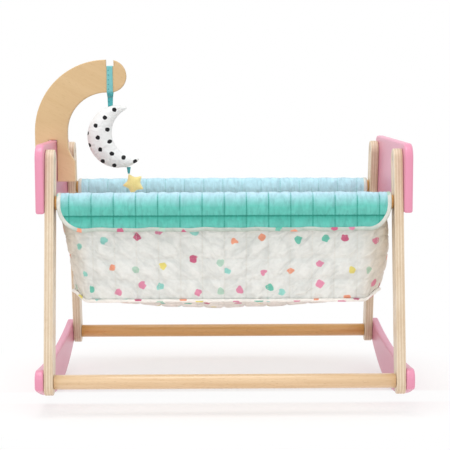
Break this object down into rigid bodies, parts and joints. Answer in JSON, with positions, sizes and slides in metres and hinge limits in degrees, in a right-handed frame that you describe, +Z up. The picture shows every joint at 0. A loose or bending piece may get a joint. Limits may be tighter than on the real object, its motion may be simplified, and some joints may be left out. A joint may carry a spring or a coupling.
{
  "type": "doll rocking bed",
  "caption": "Doll's rocking bed: a wooden A-frame on curved rockers with a quilted fabric basket, and a lift-off mobile arm that carries a plush moon and a star.",
  "frame": {"origin": "on the floor under the middle of the whole outline, mobile arm included", "axes": "+X along the bed, towards the end without the mobile arm; +Y from the front to the rear; +Z up"},
  "size_m": [0.5614, 0.4156, 0.5107],
  "materials": {
    "beech": "clear satin lacquer",
    "birch_board": "clear satin lacquer, layered grain",
    "pink_paint": "satin paint",
    "zinc_steel": "zinc plated",
    "printed_cotton": "white cotton with a scattered print",
    "teal_cotton": "quilted cotton",
    "teal_ribbon": "woven ribbon",
    "white_plush": "short plush with black dots",
    "yellow_felt": "felt"
  },
  "bodies": {
    "bed": {"basket_bottom": "printed_cotton", "basket_end_left": "printed_cotton", "basket_end_right": "printed_cotton", "basket_front": "printed_cotton", "basket_rear": "printed_cotton", "bottom_piping": "printed_cotton", "cuff_band_front_left": "printed_cotton", "cuff_band_front_right": "printed_cotton", "cuff_band_rear_left": "printed_cotton", "cuff_band_rear_right": "printed_cotton", "cuff_front": "teal_cotton", "cuff_hem_front": "printed_cotton", "cuff_hem_rear": "printed_cotton", "cuff_rear": "teal_cotton", "end_plate_bolt_front_left": "zinc_steel", "end_plate_bolt_front_right": "zinc_steel", "end_plate_bolt_rear_left": "zinc_steel", "end_plate_bolt_rear_right": "zinc_steel", "end_plate_left": "pink_paint", "end_plate_right": "pink_paint", "leg_front_left": "birch_board", "leg_front_right": "birch_board", "leg_rear_left": "birch_board", "leg_rear_right": "birch_board", "lower_rail_front": "beech", "lower_rail_rear": "beech", "plate_screw_front_left": "zinc_steel", "plate_screw_front_right": "zinc_steel", "plate_screw_rear_left": "zinc_steel", "plate_screw_rear_right": "zinc_steel", "rocker_bolt_front_left": "zinc_steel", "rocker_bolt_front_right": "zinc_steel", "rocker_bolt_rear_left": "zinc_steel", "rocker_bolt_rear_right": "zinc_steel", "rocker_left": "pink_paint", "rocker_right": "pink_paint", "upper_rail_front": "beech", "upper_rail_rear": "beech"},
    "arm": {"mobile_arm": "beech", "strap_loop": "teal_ribbon"},
    "moon": {"strap_tail": "teal_ribbon", "moon": "white_plush"},
    "star": {"star_loop": "teal_ribbon", "star": "yellow_felt"}
  },
  "joints": [
    {"name": "arm_lift", "type": "slide", "parent": "bed", "child": "arm", "axis": [0, 0, 1], "range_m": [0, 0.075]},
    {"name": "moon_swing", "type": "hinge", "parent": "arm", "child": "moon", "pos_m": [-0.1639, 0, 0.45245], "axis": [1, 0, 0], "range_deg": [-30, 30]},
    {"name": "star_swing", "type": "hinge", "parent": "moon", "child": "star", "pos_m": [-0.13661, 0, 0.34514], "axis": [1, 0, 0], "range_deg": [-30, 30]}
  ]
}
